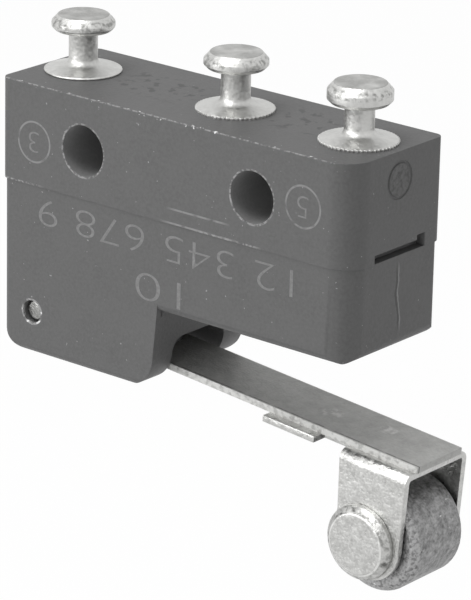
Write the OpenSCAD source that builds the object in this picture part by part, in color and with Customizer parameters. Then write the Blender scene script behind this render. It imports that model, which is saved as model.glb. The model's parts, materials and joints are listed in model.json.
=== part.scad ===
// Subminiature lever micro switch: two-piece moulded housing, three turret
// terminals, snap-action blade, and a pivoted lever with a roller.
// Origin midway between the two mounting holes, at mid-thickness.
// +X runs along the lever towards the roller, +Z towards the terminals.

/* [Housing] */
// Length of the housing
body_length = 19.65; // [19.2:0.05:21]
// Thickness of the housing across the mounting holes
body_thickness = 6.35; // [6.2:0.05:7]
// Height of the terminal base, from its top face to the parting line
base_height = 4.67; // [4.6:0.05:5.6]
// Height of the case cover under the parting line, beside the lever block
cover_height = 4.18; // [4.18:0.02:4.8]
// Height of the lever block under the cover's floor
block_height = 3.75; // [3.6:0.05:4.2]
// Length of the lever block from the pivot end
block_length = 9.15; // [8.9:0.05:9.6]
// Lean of the lever block's end face
block_draft = 0.22; // [0:0.02:0.3]
// Radius of the vertical edge at the roller end, on the marked side
front_edge_r = 1.3; // [0.6:0.1:1.8]
// Radius of the other vertical edges
edge_r = 0.4; // [0.2:0.05:0.8]
// Radius of the lever block's lower edge at the pivot end
heel_r = 1.4; // [0.6:0.1:1.6]
// Radius of the lever block's lower edge beside the notch
toe_r = 1.5; // [0.6:0.1:1.8]
// Radius in the corner of the notch
notch_r = 0.35; // [0.1:0.05:0.6]
// Radius along the bottom edge of the marked side
bottom_r = 0.35; // [0.1:0.05:0.5]
// Radius along the bottom edge of the back
back_r = 0.7; // [0.3:0.05:0.8]
// Radius along the bottom edge of the roller end
end_r = 0.5; // [0.3:0.05:0.8]
// How far the case cover stands inside the base's outline
parting_step = 0.06; // [0:0.02:0.2]
// Wall thickness of the case cover
wall = 0.95; // [0.8:0.05:1.1]
// Floor thickness of the case cover
floor_t = 1.0; // [0.8:0.02:1]

/* [Mounting holes] */
// Distance between the two mounting holes
hole_spacing = 9.525; // [9.3:0.025:9.7]
// Radius of the mounting holes
hole_r = 1.16; // [1:0.02:1.25]
// Height of the base above the mounting holes' centres
hole_below_top = 2.455; // [2.2:0.05:2.6]
// Distance from the pivot end to the first mounting hole
first_hole_x = 4.83; // [4.6:0.05:5.1]

/* [Terminals] */
// Distance from the pivot end to the common terminal
common_x = 2.0; // [1.95:0.05:2.2]
// Distance from the common to the normally open terminal
open_pitch = 8.77; // [8.6:0.05:9]
// Distance from the roller end to the normally closed terminal
closed_x = 2.14; // [2.05:0.05:2.3]
// Height of the turret above the base
turret_height = 2.6; // [2.3:0.05:3.2]
// Radius of the turret's head
turret_head_r = 1.42; // [1.3:0.02:1.6]
// Height of the turret's head
turret_head_h = 0.72; // [0.6:0.02:0.9]
// Height of the head on the normally closed terminal, which is pressed less flat
tall_head_h = 0.9; // [0.7:0.02:1]
// Radius of the post between head and flange
post_r = 0.65; // [0.6:0.01:0.7]
// Radius of the flange on the base
flange_r = 1.75; // [1.6:0.05:1.9]
// Number of notches that crimping leaves round a flange's rim
rim_notches = 56; // [40:4:64]

/* [Lever] */
// Distance from the pivot end to the lever pin
pin_x = 1.815; // [1.75:0.05:2]
// Height of the lever pin above the lever block's bottom
pin_above_bottom = 1.97; // [1.85:0.02:2.1]
// Radius of the lever pin
pin_r = 0.52; // [0.45:0.01:0.55]
// Slope of the lever at rest
rest_angle = 5.09; // [4.5:0.1:5.6]
// Turn of the lever from rest to fully pressed
lever_travel = 7; // [4:0.5:7]
// Width of the lever's strip
lever_width = 3.15; // [2.9:0.05:3.3]
// Sheet thickness of the lever
lever_t = 0.3; // [0.25:0.01:0.35]
// Depth of the strip's upper face below the pin's centre
lever_drop = 0.555; // [0.55:0.01:0.7]
// Length of the lever from the pin to its tip
lever_reach = 20.7; // [20.2:0.1:22]
// Radius of the lever's ears round the pin
ear_r = 1.0; // [0.9:0.02:1.05]
// Length of the lever's tail behind the pin, which stops against the slot's end
lever_tail = 1.05; // [1:0.02:1.1]
// Height of the lever slot above the lever block's bottom
slot_height = 2.1; // [2:0.05:2.4]
// Clearance on each side of the lever in its slot
slot_side_gap = 0.2; // [0.15:0.05:0.3]

/* [Roller] */
// Sheet thickness of the roller bracket
bracket_t = 0.3; // [0.25:0.01:0.35]
// Width across the bracket's two ears
bracket_width = 4.35; // [4.2:0.05:4.6]
// Length of the bracket's ears along the lever
bracket_ear_length = 3.6; // [3.4:0.05:3.8]
// Length of the bracket's flat tab
tab_length = 2.85; // [2.4:0.05:3.2]
// Width of the bracket's flat tab
tab_width = 4.1; // [3.6:0.1:4.3]
// Length of the narrow neck between tab and ears
neck_length = 1.5; // [1.2:0.05:1.8]
// Width of the narrow neck
neck_width = 2.5; // [2:0.1:3]
// Radius of the ears' round ends, about the roller's centre
ear_end_r = 1.66; // [1.5:0.02:1.75]
// Distance from the bracket's end back to the roller's centre
roller_setback = 1.64; // [1.6:0.02:1.8]
// Distance from the lever's upper face down to the roller's centre
roller_drop = 4.04; // [4.0:0.02:4.5]
// Radius of the roller
roller_r = 2.33; // [2:0.01:2.4]
// Width of the roller
roller_width = 3.5; // [3:0.05:3.6]
// Radius of the rivet's shank
rivet_r = 0.75; // [0.6:0.05:0.9]
// Radius of the rivet's head
rivet_head_r = 1.7; // [1.6:0.02:1.75]
// How far the rivet's head is formed off its shank, towards the pin
rivet_head_offset = 0.28; // [0:0.02:0.3]
// Thickness of the rivet's head
rivet_head_h = 0.5; // [0.4:0.05:0.6]

/* [Mechanism] */
// Radius of the plunger's stem
plunger_r = 0.8; // [0.6:0.05:0.9]
// Distance from the lever pin to the plunger
plunger_reach = 5.2; // [5:0.05:5.4]
// Sheet thickness of the snap blade
blade_t = 0.12; // [0.1:0.01:0.15]
// Width of the snap blade
blade_width = 3.5; // [3.2:0.05:3.6]
// Distance from the cavity's end to the anchor's edge that holds the tongue
anchor_reach = 1.6; // [1.4:0.05:1.8]
// Gap between the cavity's end and the tongue's end
tongue_gap = 0.5; // [0.4:0.05:0.7]
// Distance from the anchor's edge to the rails' seats
rail_length = 1.8; // [1.6:0.05:2]
// Distance from the normally closed terminal back to the contacts
contact_back = 1.96; // [1.9:0.02:2.1]
// Radius of the contacts
contact_r = 0.7; // [0.55:0.05:0.8]
// Width of the blade's pad ahead of its contact
pad_margin = 0.5; // [0.4:0.05:0.6]
// Thickness of each contact's button
contact_h = 0.35; // [0.3:0.01:0.38]
// Sheet thickness of the fixed carriers
carrier_t = 0.3; // [0.25:0.01:0.35]
// How far the open carrier reaches behind its terminal
carrier_lap = 1.1; // [0.9:0.05:1.3]

/* [Fits] */
// Running clearance of pins and shafts, on the radius
running = 0.04; // [0.02:0.01:0.06]
// Clearance of pieces that are moulded in or pressed, on the radius
seat_gap = 0.01; // [0.01:0.005:0.02]
// Gap between faces that slide or meet at rest
face_gap = 0.02; // [0.01:0.005:0.03]

/* [Hidden] */
$fn = 64;
// Overlap of pieces that are joined, and reach of cuts past a face
weld = 0.01;
over = 1;

// Housing levels, with the mounting holes' centres at Z = 0
left_x = -first_hole_x - hole_spacing / 2;
right_x = left_x + body_length;
half_t = body_thickness / 2;
top_z = hole_below_top;
parting_z = top_z - base_height;
floor_z = parting_z - cover_height;
block_z = floor_z - block_height;
notch_x = left_x + block_length;

// Cavity, and the base's spigot that closes it
cavity_half = half_t - parting_step - wall;
cavity_left = left_x + parting_step + wall;
cavity_right = right_x - parting_step - wall;
cavity_z = floor_z + floor_t;
spigot_h = 0.5;
spigot_z = parting_z - spigot_h;

// Terminals and the plates riveted to their tails
terminal_x = [left_x + common_x, left_x + common_x + open_pitch,
    right_x - closed_x];
tail_r = 0.42;
tail_head_r = 0.6;
tail_head_h = 0.22;
plate_z = spigot_z - carrier_t;

// Snap mechanism, built up from the two contacts that touch at rest
contact_x = terminal_x[2] - contact_back;
anchor_edge_x = cavity_left + anchor_reach;
closed_top_z = cavity_z + carrier_t + contact_h;
blade_z = closed_top_z + face_gap + contact_h;
blade_top_z = blade_z + blade_t;
pivot_z = blade_z + blade_t / 2;
contact_gap = plate_z - contact_h - (blade_top_z + contact_h);
blade_travel = asin((contact_gap - face_gap) / (contact_x + contact_r - anchor_edge_x));
stem_r = contact_r * 0.55;
tongue_half = 0.8;
rail_inner = tongue_half + 0.35;
rail_w = blade_width / 2 - rail_inner;
rail_leg_x = anchor_edge_x + rail_length;
rail_seat = 0.05;
rail_rise = 0.6;

// Lever frame: origin on the pin, +X along the strip, +Z away from its upper face
lever_x = left_x + pin_x;
lever_z = block_z + pin_above_bottom;
strip_bottom = -lever_drop - lever_t;
roller_z = -lever_drop - roller_drop;
bracket_end = lever_reach - 0.1;
roller_x = bracket_end - roller_setback;

// Slot of the lever in the lever block
slot_half = lever_width / 2 + slot_side_gap;
slot_top = block_z + slot_height;
slot_left = lever_x - lever_tail * cos(rest_angle) + strip_bottom * sin(rest_angle) - face_gap;

// Plunger, from the lever's upper face to just under the blade
plunger_x = lever_x + plunger_reach;
plunger_tip_z = lever_z - lever_drop / cos(rest_angle) - plunger_reach * tan(rest_angle);
plunger_rise = plunger_reach * (tan(rest_angle) - tan(rest_angle - lever_travel));
blade_rise = (plunger_x - anchor_edge_x) * sin(blade_travel);
plunger_top_z = blade_z - plunger_rise + blade_rise - 2 * face_gap;

// A block between two corners
module span(low, high) {
    translate(low) cube(high - low);
}

// A cylinder along Y, centred on Y = 0
module across(r, length) {
    rotate([90, 0, 0]) cylinder(r = r, h = length, center = true);
}

// A profile over X and Z, pushed along Y and centred on Y = 0
module push_y(length) {
    rotate([90, 0, 0]) linear_extrude(height = length, center = true) children();
}

// A profile over Y and Z, pushed along X between two stations
module push_x(x0, x1) {
    translate([x0, 0, 0]) rotate([90, 0, 90]) linear_extrude(height = x1 - x0) children();
}

// Cuts away the corner of a flat profile outside a radius; side points to the corner
module corner_cut(corner, r, side) {
    centre = [corner[0] - side[0] * r, corner[1] - side[1] * r];
    difference() {
        translate([side[0] < 0 ? corner[0] - over : centre[0], side[1] < 0 ? corner[1] - over : centre[1]])
            square([r + over, r + over]);
        translate(centre) circle(r);
    }
}

// Plan of the housing: a rectangle whose four vertical edges are rounded
module plan(inset) {
    x0 = left_x + inset;
    x1 = right_x - inset;
    y1 = half_t - inset;
    difference() {
        translate([x0, -y1]) square([x1 - x0, 2 * y1]);
        corner_cut([x0, -y1], edge_r, [-1, -1]);
        corner_cut([x0, y1], edge_r, [-1, 1]);
        corner_cut([x1, y1], edge_r, [1, 1]);
        corner_cut([x1, -y1], front_edge_r - inset, [1, -1]);
    }
}

// Cross-section of the cover over Y and Z, with its two bottom edges rounded
module cover_section(bottom_z) {
    y1 = half_t - parting_step;
    difference() {
        translate([-y1, bottom_z]) square([2 * y1, parting_z - bottom_z]);
        corner_cut([-y1, bottom_z], bottom_r, [-1, -1]);
        corner_cut([y1, bottom_z], back_r, [1, -1]);
    }
}

// Outline of the cover's main part over X and Z
module main_outline() {
    x1 = right_x - parting_step;
    difference() {
        translate([left_x, floor_z]) square([x1 - left_x, cover_height]);
        corner_cut([x1, floor_z], end_r, [1, -1]);
    }
}

// Outline of the lever block over X and Z: heel and toe rounded, end face drafted
module block_outline() {
    x0 = left_x + parting_step;
    toe_x = notch_x - block_draft;
    difference() {
        polygon([[x0, parting_z], [notch_x, parting_z], [notch_x, floor_z], [toe_x, block_z + toe_r],
            [toe_x, block_z], [x0, block_z]]);
        corner_cut([toe_x, block_z], toe_r, [1, -1]);
        corner_cut([x0, block_z], heel_r, [-1, -1]);
    }
}

// Solid whose plan, cross-section and outline are all given
module moulding(bottom_z) {
    intersection() {
        translate([0, 0, bottom_z - over]) linear_extrude(height = parting_z - bottom_z + over) plan(parting_step);
        push_x(left_x - over, right_x + over) cover_section(bottom_z);
        push_y(body_thickness) children();
    }
}

module base_housing() {
    color([0.31, 0.31, 0.31]) difference() {
        union() {
            translate([0, 0, parting_z]) linear_extrude(height = base_height) plan(0);
            span([cavity_left + face_gap, face_gap - cavity_half, spigot_z],
                [cavity_right - face_gap, cavity_half - face_gap, parting_z + weld]);
        }
        for (x = [-0.5, 0.5] * hole_spacing) translate([x, 0, 0]) across(hole_r, body_thickness + over);
        for (x = terminal_x) translate([x, 0, spigot_z - over])
            cylinder(r = post_r + seat_gap, h = top_z - spigot_z + 2 * over);
        end_slot();
        ejector_mark();
    }
}

// Slot over the parting line in the roller end, taller at its far end
module end_slot() {
    x0 = right_x - 0.45;
    near_y = -1.43;
    step_y = 1.5;
    far_y = 2.03;
    near_h = 0.4;
    far_h = 0.62;
    span([x0, near_y, parting_z - over], [right_x + over, far_y, parting_z + near_h]);
    span([x0, step_y, parting_z - over], [right_x + over, far_y, parting_z + far_h]);
}

// Round mark that an ejector pin leaves in the roller end
module ejector_mark() {
    mark_r = 0.85;
    mark_y = 0.12;
    mark_drop = 1.28;
    groove = 0.12;
    depth = 0.06;
    translate([right_x - depth, mark_y, top_z - mark_drop]) rotate([0, 90, 0]) difference() {
        cylinder(r = mark_r, h = over);
        translate([0, 0, -over]) cylinder(r = mark_r - groove, h = 3 * over);
    }
}

module case_cover() {
    color([0.30, 0.30, 0.30]) difference() {
        union() {
            moulding(floor_z) main_outline();
            moulding(block_z) block_outline();
            notch_fillet();
        }
        span([cavity_left, -cavity_half, cavity_z], [cavity_right, cavity_half, parting_z + over]);
        lever_slot();
        translate([plunger_x, 0, slot_top - over])
            cylinder(r = plunger_r + running, h = cavity_z - slot_top + 2 * over);
        translate([lever_x, 0, lever_z]) across(pin_r + seat_gap, body_thickness + over);
    }
}

// Fillet between the cover's floor and the lever block
module notch_fillet() {
    y0 = bottom_r + parting_step - half_t;
    y1 = half_t - parting_step - back_r;
    translate([0, (y0 + y1) / 2, 0]) push_y(y1 - y0) difference() {
        translate([notch_x - weld, floor_z - notch_r]) square(notch_r + weld);
        translate([notch_x + notch_r, floor_z - notch_r]) circle(notch_r);
    }
}

// Slot of the lever, open below and towards the notch, arched above
module lever_slot() {
    arch_r = 0.7;
    ear_room = 0.15;
    push_x(slot_left, notch_x + over) difference() {
        translate([-slot_half, block_z - over]) square([2 * slot_half, slot_height + over]);
        for (side = [-1, 1]) corner_cut([side * slot_half, slot_top], arch_r, [side, 1]);
    }
    translate([lever_x, 0, lever_z]) across(ear_r + ear_room, 2 * slot_half);
}

// Turret terminal turned in one piece, with notches this deep in its flange's rim
module terminal(x, head_h, notch_depth) {
    notch_tool_r = 0.08;
    color([0.80, 0.80, 0.78]) translate([x, 0, 0]) difference() {
        rotate_extrude() turret_profile(head_h);
        if (notch_depth > 0) for (i = [1 : rim_notches]) rotate([0, 0, i * 360 / rim_notches])
            translate([flange_r + notch_tool_r - notch_depth, 0, top_z - over])
                cylinder(r = notch_tool_r, h = 2 * over);
    }
}

// Half profile of a turret: tail and its riveted end, post, conical flange and bevelled head
module turret_profile(head_h) {
    flange_edge = 0.1;
    flange_cone = 0.26;
    fillet_r = 0.35;
    head_flat_r = turret_head_r - 0.29;
    head_bevel = 0.32;
    head_under = 0.17;
    cone_z = top_z + flange_cone;
    head_z = top_z + turret_height - head_h;
    head_top = top_z + turret_height;
    polygon(concat(
        [[0, plate_z - tail_head_h], [tail_head_r, plate_z - tail_head_h], [tail_head_r, plate_z],
            [tail_r, plate_z], [tail_r, spigot_z], [post_r, spigot_z], [post_r, top_z],
            [flange_r, top_z], [flange_r, top_z + flange_edge], [post_r + fillet_r, cone_z]],
        [for (a = [15 : 15 : 75]) [post_r + fillet_r * (1 - sin(a)), cone_z + fillet_r * (1 - cos(a))]],
        [[post_r, cone_z + fillet_r], [post_r, head_z], [turret_head_r - head_under, head_z],
            [turret_head_r, head_z + head_under], [turret_head_r, head_top - head_bevel],
            [head_flat_r, head_top], [0, head_top]]));
}

module common_terminal() {
    terminal(terminal_x[0], turret_head_h, 0);
}

module normally_open_terminal() {
    terminal(terminal_x[1], turret_head_h, 0.04);
}

module normally_closed_terminal() {
    terminal(terminal_x[2], tall_head_h, 0.07);
}

// Hole for a terminal's riveted tail
module tail_hole(x) {
    translate([x, 0, plate_z - over]) cylinder(r = tail_r + seat_gap, h = carrier_t + 2 * over);
}

// Anchor of the blade: plate under the base, end leg with a foot, and two grooved legs
module common_anchor() {
    half = blade_width / 2;
    leg_x = cavity_left + face_gap;
    foot_z = blade_top_z + face_gap;
    color([0.72, 0.60, 0.36]) difference() {
        union() {
            span([leg_x, -half, plate_z], [rail_leg_x, half, spigot_z]);
            span([leg_x, -half, foot_z], [leg_x + carrier_t, half, plate_z + weld]);
            span([leg_x, -tongue_half, foot_z], [anchor_edge_x, tongue_half, foot_z + carrier_t]);
            for (side = [-1, 1]) rail_leg(side);
        }
        tail_hole(terminal_x[0]);
    }
}

// Leg whose V groove holds the end of one rail
module rail_leg(side) {
    groove_half = 0.3;
    groove_depth = 0.12;
    translate([0, side * (rail_inner + rail_w / 2), 0]) push_y(rail_w) polygon([
        [rail_leg_x - carrier_t, plate_z + weld], [rail_leg_x, plate_z + weld],
        [rail_leg_x, pivot_z + groove_half], [rail_leg_x - groove_depth, pivot_z],
        [rail_leg_x, pivot_z - groove_half], [rail_leg_x - carrier_t, pivot_z - groove_half]]);
}

// Snap blade: one stamped strip, with a flat tension tongue between two bowed rails
module snap_blade() {
    pad_x = contact_x - contact_r - pad_margin;
    end_x = contact_x + contact_r + 0.25;
    color([0.76, 0.62, 0.34]) difference() {
        union() {
            span([cavity_left + tongue_gap, -tongue_half, blade_z], [pad_x + weld, tongue_half, blade_top_z]);
            span([pad_x, -blade_width / 2, blade_z], [end_x, blade_width / 2, blade_top_z]);
            for (side = [-1, 1]) translate([0, side * (rail_inner + rail_w / 2), 0])
                push_y(rail_w) bowed_rail(rail_leg_x - rail_seat, pad_x);
        }
        translate([contact_x, 0, blade_z - over]) cylinder(r = stem_r, h = blade_t + 2 * over);
    }
}

// Outline of a rail: a shallow arch from its seat to the blade's pad, which it runs into
module bowed_rail(x0, x1) {
    chord = x1 - x0;
    bow_r = (chord * chord / 4 + rail_rise * rail_rise) / (2 * rail_rise);
    run_in = 0.2;
    intersection() {
        translate([x0 + chord / 2, blade_top_z + weld + rail_rise - bow_r]) difference() {
            circle(bow_r, $fn = 360);
            circle(bow_r - blade_t, $fn = 360);
        }
        translate([x0, blade_z]) square([chord + run_in, rail_rise + over]);
    }
}

// Bevelled button profile from a base level to a face level
function button(base_z, face_z, bevel) = [[contact_r, base_z], [contact_r, face_z - sign(face_z - base_z) * bevel],
    [contact_r - bevel, face_z], [0, face_z]];
contact_bevel = 0.12;

module moving_contact() {
    hole_r = stem_r - seat_gap;
    low = button(blade_z, blade_z - contact_h, contact_bevel);
    color([0.85, 0.85, 0.85]) translate([contact_x, 0, 0]) rotate_extrude() polygon(concat(
        [for (i = [3 : -1 : 0]) low[i]], [[hole_r, blade_z], [hole_r, blade_top_z]],
        button(blade_top_z, blade_top_z + contact_h, contact_bevel)));
}

// Fixed contact on a carrier, with its face at a level
module fixed_contact(base_z, face_z) {
    color([0.85, 0.85, 0.85]) translate([contact_x, 0, 0]) rotate_extrude()
        polygon(concat([[0, base_z]], button(base_z, face_z, contact_bevel)));
}

carrier_half = 1.2;
module normally_open_carrier() {
    color([0.74, 0.62, 0.38]) difference() {
        span([terminal_x[1] - carrier_lap, -carrier_half, plate_z], [contact_x + contact_r + 0.05, carrier_half, spigot_z]);
        tail_hole(terminal_x[1]);
    }
}

module normally_open_contact() {
    fixed_contact(plate_z, plate_z - contact_h);
}

// Carrier that runs down the end of the cavity and turns under the moving contact
module normally_closed_carrier() {
    leg_x = cavity_right - 0.1;
    foot_z = cavity_z;
    color([0.74, 0.62, 0.38]) difference() {
        union() {
            span([terminal_x[2] - 0.8, -carrier_half, plate_z], [leg_x, carrier_half, spigot_z]);
            span([leg_x - carrier_t, -carrier_half, foot_z], [leg_x, carrier_half, spigot_z]);
            span([contact_x - contact_r - 0.1, -carrier_half, foot_z], [leg_x, carrier_half, foot_z + carrier_t]);
        }
        tail_hole(terminal_x[2]);
    }
}

module normally_closed_contact() {
    fixed_contact(cavity_z + carrier_t, closed_top_z);
}

// Plunger: domed tip on the lever, collar inside the cover, stub under the blade
module plunger() {
    dome = 0.25;
    tip_r = 0.35;
    collar_r = plunger_r + 0.25;
    collar_z = cavity_z + face_gap;
    collar_top = collar_z + 0.35;
    color([0.90, 0.88, 0.82]) translate([plunger_x, 0, 0]) rotate_extrude() polygon([
        [0, plunger_tip_z + 2 * face_gap], [tip_r, plunger_tip_z + 3 * face_gap], [plunger_r, plunger_tip_z + dome],
        [plunger_r, collar_z], [collar_r, collar_z], [collar_r, collar_top],
        [tip_r, collar_top], [tip_r, plunger_top_z], [0, plunger_top_z]]);
}

// Lever pin, its domed ends sunk below the cover's sides
module lever_pin() {
    half = half_t - parting_step - 0.22;
    dome_h = 0.1;
    dome_r = pin_r - 0.12;
    color([0.85, 0.85, 0.84]) translate([lever_x, 0, lever_z]) rotate([90, 0, 0]) rotate_extrude() polygon([
        [0, -half], [dome_r, -half], [pin_r, dome_h - half], [pin_r, half - dome_h], [dome_r, half], [0, half]]);
}

// Places a piece of the lever that is given in the lever's own frame
module on_lever() {
    translate([lever_x, 0, lever_z]) rotate([0, rest_angle, 0]) children();
}

// Folded channel over Y and Z, opening downwards from a web whose top is at Z = 0
module channel(width, t, leg) {
    bend = 1.5 * t;
    difference() {
        translate([-width / 2, -leg]) square([width, leg]);
        for (side = [-1, 1]) corner_cut([side * width / 2, 0], bend, [side, 1]);
        difference() {
            translate([t - width / 2, -leg - over]) square([width - 2 * t, leg + over - t]);
            for (side = [-1, 1]) corner_cut([side * (width / 2 - t), -t], bend - t, [side, 1]);
        }
    }
}

// Lever: flat strip with two ears folded up round the pin
module lever_arm() {
    color([0.70, 0.70, 0.69]) on_lever() difference() {
        union() {
            span([-lever_tail, -lever_width / 2 + 0.3, strip_bottom], [-ear_r, lever_width / 2 - 0.3, -lever_drop]);
            span([ear_r, -lever_width / 2, strip_bottom], [lever_reach, lever_width / 2, -lever_drop]);
            intersection() {
                push_x(-ear_r - weld, ear_r + weld) mirror([0, 1]) translate([0, -strip_bottom])
                    channel(lever_width, lever_t, ear_r - strip_bottom);
                push_y(lever_width) union() {
                    circle(ear_r);
                    translate([-ear_r - weld, strip_bottom]) square([2 * (ear_r + weld), -strip_bottom]);
                }
            }
        }
        across(pin_r + running, lever_width + over);
    }
}

// Roller bracket: flat tab and neck under the lever, then a channel with two ears
module roller_bracket() {
    ear_x = bracket_end - bracket_ear_length;
    neck_x = ear_x - neck_length;
    web_z = strip_bottom - bracket_t;
    color([0.78, 0.78, 0.77]) on_lever() difference() {
        union() {
            span([neck_x - tab_length, -tab_width / 2, web_z], [neck_x, tab_width / 2, strip_bottom]);
            span([neck_x - weld, -neck_width / 2, web_z], [ear_x + weld, neck_width / 2, strip_bottom]);
            intersection() {
                push_x(ear_x - over, bracket_end + over) translate([0, strip_bottom])
                    channel(bracket_width, bracket_t, strip_bottom - roller_z + ear_end_r);
                push_y(bracket_width) union() {
                    translate([roller_x, roller_z]) circle(ear_end_r);
                    polygon([[ear_x, strip_bottom], [bracket_end, strip_bottom],
                        [roller_x + ear_end_r, roller_z], [roller_x - ear_end_r, roller_z]]);
                }
            }
        }
        translate([roller_x, 0, roller_z]) across(rivet_r + seat_gap, bracket_width + over);
    }
}

// Rivet: bevelled head on the marked side, shank through the roller, formed tail
module roller_rivet() {
    seat = bracket_width / 2;
    bevel_r = rivet_head_r - 0.34;
    side_r = rivet_head_r - 0.03;
    formed_r = 1.15;
    formed_h = 0.35;
    color([0.82, 0.82, 0.81]) on_lever() translate([roller_x, 0, roller_z]) rotate([90, 0, 0]) {
        rotate_extrude() polygon([[0, seat + weld], [rivet_r, seat + weld], [rivet_r, -seat],
            [formed_r, -seat], [formed_r - 0.2, -seat - formed_h], [0, -seat - formed_h]]);
        translate([-rivet_head_offset, 0, 0]) rotate_extrude() polygon([[0, seat], [rivet_head_r, seat],
            [side_r, seat + rivet_head_h / 2], [bevel_r, seat + rivet_head_h], [0, seat + rivet_head_h]]);
    }
}

module roller() {
    chamfer = 0.28;
    half = roller_width / 2;
    bore = rivet_r + running;
    color([0.52, 0.52, 0.52]) on_lever() translate([roller_x, 0, roller_z]) rotate([90, 0, 0])
        rotate_extrude() polygon([[bore, -half], [roller_r - chamfer, -half], [roller_r, chamfer - half],
            [roller_r, half - chamfer], [roller_r - chamfer, half], [bore, half]]);
}

base_housing();
case_cover();
common_terminal();
normally_open_terminal();
normally_closed_terminal();
common_anchor();
snap_blade();
moving_contact();
normally_open_carrier();
normally_open_contact();
normally_closed_carrier();
normally_closed_contact();
plunger();
lever_pin();
lever_arm();
roller_bracket();
roller_rivet();
roller();
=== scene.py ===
"""Finishes and small details of a lever micro switch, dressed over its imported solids."""
import json
import math

import bpy
from mathutils import Euler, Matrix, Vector


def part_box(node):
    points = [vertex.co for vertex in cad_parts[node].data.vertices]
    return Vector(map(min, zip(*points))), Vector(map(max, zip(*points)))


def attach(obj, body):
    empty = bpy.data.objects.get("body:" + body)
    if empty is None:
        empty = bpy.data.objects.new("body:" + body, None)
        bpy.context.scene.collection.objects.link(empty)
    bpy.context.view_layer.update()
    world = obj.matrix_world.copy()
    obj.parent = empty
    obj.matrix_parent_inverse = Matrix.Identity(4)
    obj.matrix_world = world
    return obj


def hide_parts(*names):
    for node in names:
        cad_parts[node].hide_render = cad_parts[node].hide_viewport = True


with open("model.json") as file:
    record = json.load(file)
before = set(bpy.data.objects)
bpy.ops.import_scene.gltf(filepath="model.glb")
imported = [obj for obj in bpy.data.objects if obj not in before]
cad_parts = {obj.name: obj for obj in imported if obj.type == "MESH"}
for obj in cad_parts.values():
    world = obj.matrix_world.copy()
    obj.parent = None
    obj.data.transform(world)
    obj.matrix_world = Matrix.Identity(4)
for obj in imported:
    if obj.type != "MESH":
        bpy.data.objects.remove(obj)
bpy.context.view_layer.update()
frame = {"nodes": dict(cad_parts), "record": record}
MM = 0.001


# ---- places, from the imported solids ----

def corners(name):
    """A solid's lowest and highest corner, in metres."""
    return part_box(name)


BASE_LOW, BASE_HIGH = corners("base_housing")
COVER_LOW, COVER_HIGH = corners("case_cover")
PIN_LOW, PIN_HIGH = corners("lever_pin")
STRIP_LOW, STRIP_HIGH = corners("lever_arm")
ROLLER_LOW, ROLLER_HIGH = corners("roller")
PIN_CENTRE = (PIN_LOW + PIN_HIGH) / 2
FRONT_Y = BASE_LOW.y
TOP_Z = BASE_HIGH.z
PARTING_Z = COVER_HIGH.z
CROWN_Z = corners("common_terminal")[1].z
HOLES = next(mount for mount in frame["record"]["mounts"] if mount["name"] == "mounting_holes")
HOLE_X = HOLES["dims"]["spacing_x_mm"] * MM / 2
HOLE_R = HOLES["dims"]["hole_r_mm"] * MM
BODY_OF = {solid: body
           for body, solids in frame["record"]["behaviour"]["bodies"].items()
           for solid in solids}

# How far behind a flat face its marks reach, so that they cover its eased edge.
FACE_DEPTH = 0.09 * MM
BASE_END_DEPTH = 0.12 * MM
COVER_END_DEPTH = 0.1 * MM

# Circled digits: x and z of each ring's middle, the ring's radius, the digit's width and height.
RIGHT_RING = (7.52 * MM, 0.2 * MM)
LEFT_RING = (-7.63 * MM, -0.19 * MM)
RING_R = 0.92 * MM
RING_DIGIT = (0.62 * MM, 0.95 * MM)

# Two ruled lines near the right hole: x and z of the middle, half the length.
RULES = ((1.83 * MM, -1.5 * MM, 1.2 * MM), (1.87 * MM, -2.145 * MM, 1.5 * MM))
LINE_HALF = 0.035 * MM

# Two lines of digits on the cover: x and z of the middle, then width and height.
LONG_LINE = ((-0.17 * MM, -3.32 * MM), (14.43 * MM, 1.25 * MM))
SHORT_LINE = ((-0.40 * MM, -5.39 * MM), (2.57 * MM, 1.25 * MM))
PRINT_LIFT = 0.004 * MM
STROKE_OFFSET = -0.02

# Flash: how close to the front's upper edge and to the lip it lies, x and half length of its stretches
# along the lip, then radius and half width of the rims of the mounting holes and of the pin's hole.
EDGE_HALF = 0.035 * MM
LIP_HALF = 0.07 * MM
LIP_FLASH = ((BASE_LOW.x, 1.7 * MM), (3.4 * MM, 1.3 * MM))
HOLE_RIM = (HOLE_R + 0.03 * MM, 0.045 * MM)
PIN_RIM = (0.55 * MM, 0.05 * MM)

# Scuffs between the turrets: x and y of the middle, half the length, and half the width of both.
SCUFFS = ((-3.3 * MM, 0.3 * MM, 1.7 * MM), (4.5 * MM, 0.6 * MM, 1.1 * MM))
SCUFF_HALF = 1.1 * MM

# The ejector's print on the base's roller end: y and z of its middle, and its radius.
EJECTOR = (0.12 * MM, 1.17 * MM)
EJECTOR_R = 0.55 * MM

# The dark line that the gate left on the cover's roller end: middle height, half length, half width,
# its lean and its sway, and how far beside it the highlight painted along its one side lies and half the
# width of that.
GATE_Z = -4.1 * MM
GATE_LENGTH_HALF = 1.1 * MM
GATE_HALF = 0.04 * MM
GATE_LEAN = 0.03
GATE_SWAY = -0.25 * MM
GATE_EDGE = (0.13 * MM, 0.03 * MM)

# Strip: half the width of its burred sides, y and half width of the shade painted along the seam on the
# marked side, and the spot welds' x and y and radius.
SIDE_HALF = 0.03 * MM
SEAM = (STRIP_LOW.y + 0.13 * MM, 0.03 * MM)
WELDS = ((7.00 * MM, -0.01 * MM), (9.72 * MM, 0.59 * MM))
WELD_R = 0.35 * MM

# Turrets: how close to their flat tops the greyed skin lies, and the height and half height of the bevel.
CROWN_HALF = 0.02 * MM
TURRET_BEVEL = (CROWN_Z - 0.3 * MM, 0.14 * MM)
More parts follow.
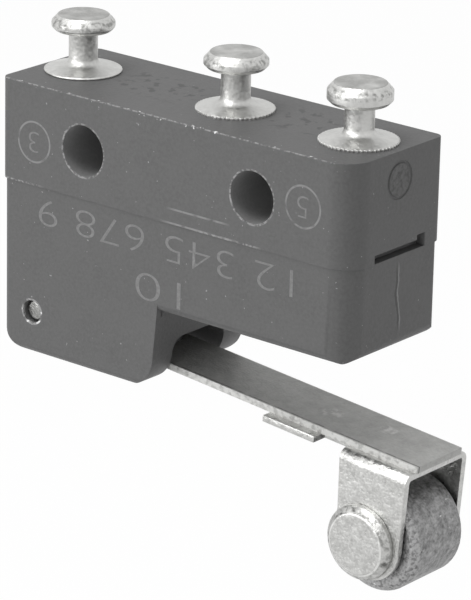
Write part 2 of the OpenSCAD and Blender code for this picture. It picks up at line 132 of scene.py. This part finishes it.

# Rivet head: x and z of its middle, then radius and half width of its bevel, where a reflection is painted
# dark, and of its face's rim, where a highlight is painted pale.
RIVET_HEAD = (10.42 * MM, -14.46 * MM)
RIVET_BEVEL = (1.55 * MM, 0.09 * MM)
RIVET_RIM = (1.37 * MM, 0.03 * MM)

# Roller: the middles of its two chamfers, and half the width of each.
CHAMFERS = (ROLLER_LOW.y + 0.14 * MM, ROLLER_HIGH.y - 0.14 * MM)
CHAMFER_HALF = 0.12 * MM

# Edges: how wide each kind of piece has them eased.
MOULDED_EASE = 0.05 * MM
TUMBLED_EASE = 0.05 * MM
TURNED_EASE = 0.04 * MM
CUT_EASE = 0.03 * MM

# Meshes: how close points are merged, up to which angle faces count as flat, from which angle edges are
# eased, on turned pieces too, and up to which angle faces are shaded as one.
MERGE = 0.0005 * MM
FLAT_DEG = 0.2
EASED_DEG = 28
TURNED_DEG = 20
SMOOTH_DEG = 50


# ---- tools for shapes ----

def only(piece):
    """Selects one object alone and makes it active."""
    if bpy.context.mode != "OBJECT":
        bpy.ops.object.mode_set(mode="OBJECT")
    bpy.ops.object.select_all(action="DESELECT")
    piece.select_set(True)
    bpy.context.view_layer.objects.active = piece


def settle(piece):
    """Puts an object's place, turn and size into its mesh."""
    only(piece)
    bpy.ops.object.transform_apply(location=True, rotation=True, scale=True)


def eased(name, width, from_deg=EASED_DEG):
    """A merged copy of a solid with its sharp edges eased, which stands for it."""
    solid = frame["nodes"][name]
    piece = solid.copy()
    piece.data = solid.data.copy()
    piece.name = name + "_finished"
    piece.parent = None
    for key in list(piece.keys()):
        del piece[key]
    bpy.context.scene.collection.objects.link(piece)
    only(piece)
    bpy.ops.object.mode_set(mode="EDIT")
    bpy.ops.mesh.select_all(action="SELECT")
    bpy.ops.mesh.remove_doubles(threshold=MERGE)
    bpy.ops.mesh.dissolve_limited(angle_limit=math.radians(FLAT_DEG))
    bpy.ops.object.mode_set(mode="OBJECT")
    if piece.data.has_custom_normals:
        bpy.ops.mesh.customdata_custom_splitnormals_clear()
    easing = piece.modifiers.new("Eased edges", "BEVEL")
    easing.width = width
    easing.segments = 2
    easing.limit_method = "ANGLE"
    easing.angle_limit = math.radians(from_deg)
    bpy.ops.object.modifier_apply(modifier=easing.name)
    bpy.ops.object.shade_smooth_by_angle(angle=math.radians(SMOOTH_DEG))
    flats = piece.modifiers.new("Flat faces stay flat", "WEIGHTED_NORMAL")
    flats.keep_sharp = True
    bpy.ops.object.modifier_apply(modifier=flats.name)
    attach(piece, BODY_OF[name])
    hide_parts(name)
    return piece


# ---- tools for materials ----

def linear(code):
    """Linear colour of an sRGB hex code."""
    channels = [int(code[i:i + 2], 16) / 255 for i in (1, 3, 5)]
    return [c / 12.92 if c <= 0.04045 else ((c + 0.055) / 1.055) ** 2.4 for c in channels] + [1.0]


def per_mm(size):
    """Texture scale at which a pattern's features are about this many millimetres."""
    return 1 / (size * MM)


def new_material(name, **settings):
    """A material of that name: its tree and its main shader, with the shader's own settings."""
    made = bpy.data.materials.new(name)
    made.use_nodes = True
    tree = made.node_tree
    shader = tree.nodes["Principled BSDF"]
    for key, value in settings.items():
        shader.inputs[key.replace("_", " ")].default_value = value
    return made, tree, shader


def add(tree, kind, inputs=None, **settings):
    """Adds a node with its settings, and sets or links its inputs."""
    made = tree.nodes.new(kind)
    for key, value in settings.items():
        setattr(made, key, value)
    for key, value in (inputs or {}).items():
        if isinstance(value, bpy.types.NodeSocket):
            tree.links.new(value, made.inputs[key])
        else:
            made.inputs[key].default_value = value
    return made


def wear(piece, material):
    """Gives a piece one material all over."""
    piece.data.materials.clear()
    piece.data.materials.append(material)


# ---- patterns, all in metres on the part ----

def joined(tree, masks, operation):
    """One mask from several, taken two by two."""
    total = masks[0]
    for mask in masks[1:]:
        total = add(tree, "ShaderNodeMath", {0: total, 1: mask}, operation=operation).outputs[0]
    return total


def any_of(tree, *masks):
    """1 where any of the masks is."""
    return joined(tree, masks, "MAXIMUM")


def all_of(tree, *masks):
    """1 only where all the masks are."""
    return joined(tree, masks, "MINIMUM")


def near(tree, value, centre, half):
    """1 where a value lies this close to a centre, fading over half as much again."""
    away = add(tree, "ShaderNodeMath", {0: value, 1: centre}, operation="SUBTRACT").outputs[0]
    size = add(tree, "ShaderNodeMath", {0: away}, operation="ABSOLUTE").outputs[0]
    fade = add(tree, "ShaderNodeMapRange", {"Value": size, "From Min": half, "From Max": 1.5 * half,
                                            "To Min": 1.0, "To Max": 0.0})
    return fade.outputs["Result"]


def patches(tree, place, size_mm, low, high, detail=3.0):
    """Irregular patches about this many millimetres wide, fading in between two noise levels."""
    noise = add(tree, "ShaderNodeTexNoise", {"Vector": place, "Scale": per_mm(size_mm), "Detail": detail})
    fade = add(tree, "ShaderNodeMapRange", {"Value": noise.outputs["Fac"],
                                            "From Min": low, "From Max": high})
    return fade.outputs["Result"]


def from_axis(tree, place, axes, centre):
    """Distance from a line along the missing axis, given by its place on the other two."""
    keep = tuple(1.0 if axis in axes else 0.0 for axis in "XYZ")
    spot = tuple(dict(zip(axes, centre)).get(axis, 0.0) for axis in "XYZ")
    flat = add(tree, "ShaderNodeVectorMath", {0: place, 1: keep}, operation="MULTIPLY").outputs[0]
    return add(tree, "ShaderNodeVectorMath", {0: flat, 1: spot}, operation="DISTANCE").outputs["Value"]


def tinted(tree, below, mask, code):
    """A colour laid over another where the mask is 1."""
    return add(tree, "ShaderNodeMix", {0: mask, 6: below, 7: linear(code)}, data_type="RGBA").outputs[2]


# ---- mouldings and print ----

def base_marks(tree, place, axes):
    """Masks on the base: print, pale flash, dark scuffs and ejector's print, bright crumbs."""
    front = near(tree, axes["Y"], FRONT_Y, FACE_DEPTH)
    top = near(tree, axes["Z"], TOP_Z, FACE_DEPTH)
    end = near(tree, axes["X"], BASE_HIGH.x, BASE_END_DEPTH)
    rings = [near(tree, from_axis(tree, place, "XZ", centre), RING_R, LINE_HALF)
             for centre in (RIGHT_RING, LEFT_RING)]
    rules = [all_of(tree, near(tree, axes["X"], x, half), near(tree, axes["Z"], z, LINE_HALF))
             for x, z, half in RULES]
    rubbed = patches(tree, place, 0.5, 0.3, 0.5)
    printed = all_of(tree, any_of(tree, *rings, *rules), front, rubbed)
    flash = patches(tree, place, 0.16, 0.42, 0.6)
    front_edge = near(tree, axes["Y"], FRONT_Y, EDGE_HALF)
    top_edge = near(tree, axes["Z"], TOP_Z, EDGE_HALF)
    lip = near(tree, axes["Z"], PARTING_Z, LIP_HALF)
    stretches = any_of(tree, *[near(tree, axes["X"], x, half) for x, half in LIP_FLASH])
    rims = any_of(tree, *[near(tree, from_axis(tree, place, "XZ", (x, 0.0)), *HOLE_RIM)
                          for x in (-HOLE_X, HOLE_X)])
    pale = any_of(tree, all_of(tree, front_edge, top_edge, flash), all_of(tree, front, lip, stretches, flash),
                  all_of(tree, rims, front, flash))
    scraped = patches(tree, place, 0.5, 0.55, 0.62, 6.0)
    fields = [all_of(tree, near(tree, axes["X"], x, half), near(tree, axes["Y"], y, SCUFF_HALF))
              for x, y, half in SCUFFS]
    scuffs = all_of(tree, top, scraped, any_of(tree, *fields))
    ejector = all_of(tree, end, near(tree, from_axis(tree, place, "YZ", EJECTOR), 0.0, EJECTOR_R),
                     patches(tree, place, 0.2, 0.45, 0.65))
    bright = all_of(tree, front, top, patches(tree, place, 0.2, 0.68, 0.72, 1.0))
    return printed, pale, any_of(tree, scuffs, ejector), bright


def cover_marks(tree, place, axes):
    """Masks on the cover: a highlight painted along one side of the gate line, flash round the pin, the gate
    line, bright crumbs.
    """
    end = near(tree, axes["X"], COVER_HIGH.x, COVER_END_DEPTH)
    front = near(tree, axes["Y"], COVER_LOW.y, FACE_DEPTH)
    sway = patches(tree, place, 1.2, 0.3, 0.7)
    lean = add(tree, "ShaderNodeMath", {0: axes["Z"], 1: GATE_LEAN}, operation="MULTIPLY").outputs[0]
    wander = add(tree, "ShaderNodeMath", {0: sway, 1: GATE_SWAY, 2: lean}, operation="MULTIPLY_ADD")
    across = add(tree, "ShaderNodeMath", {0: axes["Y"], 1: wander.outputs[0]}, operation="ADD").outputs[0]
    along = near(tree, axes["Z"], GATE_Z, GATE_LENGTH_HALF)
    gate = all_of(tree, end, near(tree, across, 0.0, GATE_HALF), along)
    # Painted highlight: a pale line along one side of the gate line.
    edge = all_of(tree, end, near(tree, across, *GATE_EDGE), along)
    rim = near(tree, from_axis(tree, place, "XZ", (PIN_CENTRE.x, PIN_CENTRE.z)), *PIN_RIM)
    pale = all_of(tree, rim, front, patches(tree, place, 0.3, 0.4, 0.55))
    bright = all_of(tree, pale, patches(tree, place, 0.2, 0.6, 0.65))
    return edge, pale, gate, bright


def phenolic(name, codes, marks):
    """Mineral-filled phenolic, compression moulded: dull grey, faintly mottled, pale flecks of filler.

    The real filler's grain is finer than this one, which is as coarse as it needs to be to show.
    """
    made, tree, shader = new_material(name, Roughness=0.55)
    place = add(tree, "ShaderNodeTexCoord").outputs["Object"]
    axes = add(tree, "ShaderNodeSeparateXYZ", {"Vector": place}).outputs
    cloud = patches(tree, place, 1.6, 0.3, 0.7, 5.0)
    grain = patches(tree, place, 0.14, 0.3, 0.7)
    flecks = patches(tree, place, 0.18, 0.77, 0.8, 1.0)
    printed, pale, dark, bright = marks(tree, place, axes)
    clouded = tinted(tree, linear(codes[0]), cloud, codes[1])
    grained = tinted(tree, clouded, grain, codes[2])
    flecked = tinted(tree, grained, flecks, "#8A8A8A")
    shaded = tinted(tree, flecked, dark, "#3C3C3C")
    # On the cover this first mask is the highlight painted beside the gate line, in the print's grey.
    inked = tinted(tree, shaded, printed, PRINT_CODE)
    flashed = tinted(tree, inked, pale, "#8E8E8E")
    sparkling = tinted(tree, flashed, bright, "#E8E8E8")
    tree.links.new(sparkling, shader.inputs["Base Color"])
    relief = add(tree, "ShaderNodeBump", {"Height": grain, "Distance": 0.008 * MM, "Strength": 0.5})
    tree.links.new(relief.outputs["Normal"], shader.inputs["Normal"])
    return made


def plain(name, codes, roughness):
    """A moulding or print of nearly one colour, broken up by a fine grain."""
    made, tree, shader = new_material(name, Roughness=roughness)
    place = add(tree, "ShaderNodeTexCoord").outputs["Object"]
    grain = patches(tree, place, 0.14, 0.3, 0.7)
    tree.links.new(tinted(tree, linear(codes[0]), grain, codes[1]), shader.inputs["Base Color"])
    return made


# ---- metals ----

def strip_marks(tree, place, tone):
    """Pale smudges over the spot welds, painted shade along the seam with the bracket's tab, and burred
    sides.
    """
    across = add(tree, "ShaderNodeSeparateXYZ", {"Vector": place}).outputs["Y"]
    welds = any_of(tree, *[near(tree, from_axis(tree, place, "XY", spot), 0.0, WELD_R) for spot in WELDS])
    smudge = all_of(tree, welds, patches(tree, place, 0.3, 0.45, 0.65))
    seam = all_of(tree, near(tree, across, *SEAM), patches(tree, place, 0.5, 0.35, 0.5))
    sides = any_of(tree, *[near(tree, across, y, SIDE_HALF) for y in (STRIP_LOW.y, STRIP_HIGH.y)])
    burrs = all_of(tree, sides, patches(tree, place, 0.25, 0.35, 0.55))
    smudged = tinted(tree, tone, smudge, "#C2C2C0")
    # Painted shade: a dark line where the bracket's tab meets the strip.
    lined = tinted(tree, smudged, seam, "#6C6C6A")
    return tinted(tree, lined, burrs, "#C8C8C6")


def turret_marks(tree, place, tone):
    """Flat tops greyer than the rest, and bevels dented and tarnished in patches."""
    height = add(tree, "ShaderNodeSeparateXYZ", {"Vector": place}).outputs["Z"]
    crown = all_of(tree, near(tree, height, CROWN_Z, CROWN_HALF), patches(tree, place, 0.7, 0.2, 0.6))
    bevel = all_of(tree, near(tree, height, *TURRET_BEVEL), patches(tree, place, 0.22, 0.48, 0.66))
    greyed = tinted(tree, tone, crown, "#9C9C9A")
    return tinted(tree, greyed, bevel, "#8E8E8C")


def rivet_marks(tree, place, tone):
    """A bevel darkened in places as a painted reflection, and a pale rim round the face as a painted
    highlight.
    """
    away = from_axis(tree, place, "XZ", RIVET_HEAD)
    bevel = all_of(tree, near(tree, away, *RIVET_BEVEL), patches(tree, place, 0.28, 0.45, 0.68))
    rim = all_of(tree, near(tree, away, *RIVET_RIM), patches(tree, place, 0.3, 0.35, 0.5))
    # Painted reflection: dark patches on the bevel. Painted highlight: the pale rim round the face.
    bruised = tinted(tree, tone, bevel, "#666664")
    return tinted(tree, bruised, rim, "#DADAD8")


def roller_marks(tree, place, tone):
    """Chamfers rubbed paler, bright specks that are painted glints, and dark open pores."""
    across = add(tree, "ShaderNodeSeparateXYZ", {"Vector": place}).outputs["Y"]
    chamfers = any_of(tree, *[near(tree, across, y, CHAMFER_HALF) for y in CHAMFERS])
    rubbed = all_of(tree, chamfers, patches(tree, place, 0.12, 0.42, 0.62))
    banded = tinted(tree, tone, rubbed, "#AAAAAA")
    # Painted glints: bright specks.
    specked = tinted(tree, banded, patches(tree, place, 0.2, 0.7, 0.75), "#D8D8D8")
    return tinted(tree, specked, patches(tree, place, 0.22, 0.7, 0.75), "#3A3A3A")


def metal(name, codes, roughness, cloud_mm, grain_mm, dents_mm=0.0, shine=1.0, marks=None):
    """Plated, rolled or sintered metal: cloudy tone, fine grain, soft dents, and marks of its own, among them
    painted highlights, reflections and shade.

    The real grain is finer than this one, which is as coarse as it needs to be to show.
    """
    made, tree, shader = new_material(name, Metallic=shine)
    place = add(tree, "ShaderNodeTexCoord").outputs["Object"]
    cloud = patches(tree, place, cloud_mm, 0.3, 0.7, 5.0)
    grain = patches(tree, place, grain_mm, 0.3, 0.7, 4.0)
    both = add(tree, "ShaderNodeMath", {0: cloud, 1: grain}, operation="ADD").outputs[0]
    share = add(tree, "ShaderNodeMath", {0: both, 1: 0.5}, operation="MULTIPLY").outputs[0]
    tone = tinted(tree, linear(codes[0]), share, codes[1])
    colour = marks(tree, place, tone) if marks else tone
    tree.links.new(colour, shader.inputs["Base Color"])
    rough = add(tree, "ShaderNodeMapRange", {"Value": grain, "To Min": roughness - 0.08,
                                             "To Max": roughness + 0.1})
    tree.links.new(rough.outputs["Result"], shader.inputs["Roughness"])
    dents = add(tree, "ShaderNodeBump", {"Height": cloud, "Distance": dents_mm * MM, "Strength": 1.0})
    relief = add(tree, "ShaderNodeBump", {"Height": grain, "Distance": 0.012 * MM, "Strength": 0.6,
                                          "Normal": dents.outputs["Normal"]})
    tree.links.new(relief.outputs["Normal"], shader.inputs["Normal"])
    return made


# ---- the materials of this switch ----

BASE_GREYS = ("#4E4E4E", "#545454", "#585858")
PRINT_CODE = "#7C7C7C"

# Mineral-filled phenolic, compression moulded: the base and the cover differ only in their marks.
BASE_PHENOLIC = phenolic("phenolic_base", BASE_GREYS, base_marks)
COVER_PHENOLIC = phenolic("phenolic_cover", BASE_GREYS, cover_marks)
# Phenolic drawn over a core pin: painted paler and more even than the faces, as light inside the holes.
BORE = plain("phenolic_bore", ("#7A7A7A", "#828282"), 0.6)
# Pad-printed ink, worn: little paler than the moulding, and thin in places.
PRINT = plain("worn_print", (PRINT_CODE, "#6A6A6A"), 0.6)
# Glass-filled nylon, injection moulded: near black and half dull.
NYLON = plain("black_nylon", ("#1C1C1C", "#262626"), 0.45)
# Tin plate over turned brass: bright and soft, so it dents and tarnishes at the bevels.
TIN = metal("tin_plate", ("#B4B4B2", "#D2D2D0"), 0.4, 0.6, 0.16, 0.008, marks=turret_marks)
# Rolled stainless strip, pickled: a satin grey that mirrors little.
STAINLESS = metal("satin_stainless", ("#929290", "#B4B4B2"), 0.5, 0.6, 0.12, 0.01, 0.4, strip_marks)
# Nickel plate over a folded blank: bright, with soft dents from the folding.
NICKEL = metal("bright_nickel", ("#A8A8A6", "#D0D0CE"), 0.34, 0.4, 0.12, 0.02)
# Nickel plate over a headed rivet: an evenly mottled face, with a reflection painted on its bevel and a
# highlight painted round its face.
RIVET_NICKEL = metal("rivet_nickel", ("#A6A6A4", "#CECECC"), 0.34, 0.4, 0.12, 0.015, marks=rivet_marks)
# Drawn steel pin, cut off and faced: darker than nickel, with a tighter gloss.
STEEL = metal("drawn_steel", ("#828280", "#A8A8A6"), 0.28, 0.4, 0.12, 0.02)
# Sintered steel, tumbled: dark between its grains, with rubbed chamfers, glints painted as bright specks, and
# open pores.
SINTERED = metal("sintered_steel", ("#525252", "#B0B0B0"), 0.45, 0.3, 0.12, 0.02, 0.85, roller_marks)
# Brass strip, blanked: warm yellow with the satin of rolling.
BRASS = metal("brass_strip", ("#A88C52", "#C0A468"), 0.35, 0.6, 0.15)
# Phosphor bronze spring strip: browner than brass, and smoother.
BRONZE = metal("spring_bronze", ("#A0804A", "#B8965C"), 0.3, 0.8, 0.15)
# Silver contacts, coined: the palest metal in the switch.
SILVER = metal("silver_contact", ("#C2C2C0", "#DADAD8"), 0.3, 0.4, 0.1)


# ---- the solids, dressed ----

def line_bores(piece, material):
    """Gives the walls of the two mounting holes a material of their own, painted paler as light inside them.
    """
    wall_r = HOLE_R + 0.02 * MM
    most_y = 0.2
    piece.data.materials.append(material)
    for face in piece.data.polygons:
        away = min(math.hypot(face.center.x - x, face.center.z) for x in (-HOLE_X, HOLE_X))
        if away < wall_r and abs(face.normal.y) < most_y:
            face.material_index = 1


base = eased("base_housing", MOULDED_EASE)
wear(base, BASE_PHENOLIC)
line_bores(base, BORE)
wear(eased("case_cover", MOULDED_EASE), COVER_PHENOLIC)
for turret in ("common_terminal", "normally_open_terminal", "normally_closed_terminal"):
    wear(eased(turret, TURNED_EASE, TURNED_DEG), TIN)
wear(eased("lever_pin", CUT_EASE), STEEL)
wear(eased("lever_arm", CUT_EASE), STAINLESS)
wear(eased("roller_bracket", CUT_EASE), NICKEL)
wear(eased("roller_rivet", TURNED_EASE, TURNED_DEG), RIVET_NICKEL)
wear(eased("roller", TUMBLED_EASE), SINTERED)
for material, names in ((BRASS, ("common_anchor", "normally_open_carrier", "normally_closed_carrier")),
                        (BRONZE, ("snap_blade",)),
                        (SILVER, ("moving_contact", "normally_open_contact", "normally_closed_contact")),
                        (NYLON, ("plunger",))):
    for name in names:
        wear(frame["nodes"][name], material)


# ---- printed numbers ----

def number(digits, centre, size, face_y):
    """Plain digits printed upside down on the marked face: x and z of the middle, width and height."""
    bpy.ops.object.select_all(action="DESELECT")
    bpy.ops.object.text_add(location=(0, 0, 0))
    piece = bpy.context.active_object
    piece.name = "number_" + digits.replace(" ", "_")
    piece.data.body = digits
    piece.data.align_x = "CENTER"
    piece.data.align_y = "CENTER"
    piece.data.offset = STROKE_OFFSET
    bpy.ops.object.convert(target="MESH")
    piece.scale = (size[0] / piece.dimensions.x, size[1] / piece.dimensions.y, 1.0)
    settle(piece)
    low = [min(corner[axis] for corner in piece.bound_box) for axis in range(2)]
    piece.location = (-(low[0] + size[0] / 2), -(low[1] + size[1] / 2), 0.0)
    settle(piece)
    piece.rotation_euler = (math.radians(90), math.radians(180), 0.0)
    piece.location = (centre[0], face_y - PRINT_LIFT, centre[1])
    settle(piece)
    wear(piece, PRINT)
    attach(piece, "housing")


number("5", RIGHT_RING, RING_DIGIT, FRONT_Y)
number("3", LEFT_RING, RING_DIGIT, FRONT_Y)
number("12 345 678 9", *LONG_LINE, COVER_LOW.y)
number("10", *SHORT_LINE, COVER_LOW.y)


# ---- surroundings ----

# Floor and sky: sizes in metres, then how bright each is where it is seen and how much light it gives.
FLOOR_SIZE = 1.2
FLOOR_BACK = 0.2
FLOOR_DROP = 30 * MM
FLOOR_GLOW = 0.95
SKY_LIGHT = 0.55
SKY_SEEN = 1.0

# Where the lamps look, and the camera: its lens on a 36 mm sensor, its place and its turn.
AIM = Vector((0, 0, -5 * MM))
LENS = 235.06
CAMERA_PLACE = (103.4812 * MM, -125.4656 * MM, 50.9834 * MM)
CAMERA_TURN_DEG = (70.5202, -1.2006, 39.5515)


def looked_at(tree):
    """1 where a surface is seen, straight, mirrored or through glass, and 0 where it only gives light."""
    rays = add(tree, "ShaderNodeLightPath").outputs
    return any_of(tree, rays["Is Camera Ray"], rays["Is Glossy Ray"], rays["Is Transmission Ray"])


def floor():
    """A white floor well below the roller, which keeps a trace of shadow."""
    bpy.ops.mesh.primitive_plane_add(size=FLOOR_SIZE, location=(0, FLOOR_BACK, ROLLER_LOW.z - FLOOR_DROP))
    made = bpy.context.active_object
    made.name = "floor"
    material, tree, shader = new_material("pale_card", Roughness=0.9)
    shader.inputs["Base Color"].default_value = linear("#FFFFFF")
    share = add(tree, "ShaderNodeMath", {0: looked_at(tree), 1: FLOOR_GLOW}, operation="MULTIPLY")
    glow = add(tree, "ShaderNodeEmission", {"Color": (1, 1, 1, 1), "Strength": 1.0})
    both = add(tree, "ShaderNodeMixShader", {0: share.outputs[0], 1: shader.outputs[0], 2: glow.outputs[0]})
    tree.links.new(both.outputs[0], tree.nodes["Material Output"].inputs["Surface"])
    wear(made, material)


def sky():
    """Soft light from all round, white where it is seen."""
    world = bpy.data.worlds.new("studio")
    bpy.context.scene.world = world
    world.use_nodes = True
    tree = world.node_tree
    strength = add(tree, "ShaderNodeMapRange", {"Value": looked_at(tree), "To Min": SKY_LIGHT,
                                                "To Max": SKY_SEEN})
    tree.links.new(strength.outputs["Result"], tree.nodes["Background"].inputs["Strength"])
    tree.nodes["Background"].inputs["Color"].default_value = (1, 1, 1, 1)


def lamp(name, place, size, power, lights_dull=True):
    """A soft lamp that looks at the middle of the switch, or one that shows in shiny surfaces alone."""
    data = bpy.data.lights.new(name, "AREA")
    data.size = size
    data.energy = power
    made = bpy.data.objects.new(name, data)
    made.location = place
    made.visible_diffuse = lights_dull
    made.rotation_euler = (AIM - Vector(place)).to_track_quat("-Z", "Y").to_euler()
    bpy.context.scene.collection.objects.link(made)


def camera():
    """Long lens, seen from above the roller end of the marked side."""
    data = bpy.data.cameras.new("camera")
    data.lens = LENS
    data.clip_start = 0.01
    data.clip_end = 5
    made = bpy.data.objects.new("camera", data)
    made.location = CAMERA_PLACE
    made.rotation_euler = Euler([math.radians(degrees) for degrees in CAMERA_TURN_DEG])
    bpy.context.scene.collection.objects.link(made)
    bpy.context.scene.camera = made


floor()
sky()
# Places and sizes in metres, power in watts.
lamp("overhead", place=(-0.03, -0.06, 0.20), size=0.10, power=0.2)
lamp("left", place=(-0.12, -0.20, 0.04), size=0.12, power=0.2)
lamp("glint", place=(0.01, -0.20, 0.14), size=0.06, power=0.25, lights_dull=False)
camera()
bpy.context.scene.view_settings.view_transform = "Standard"
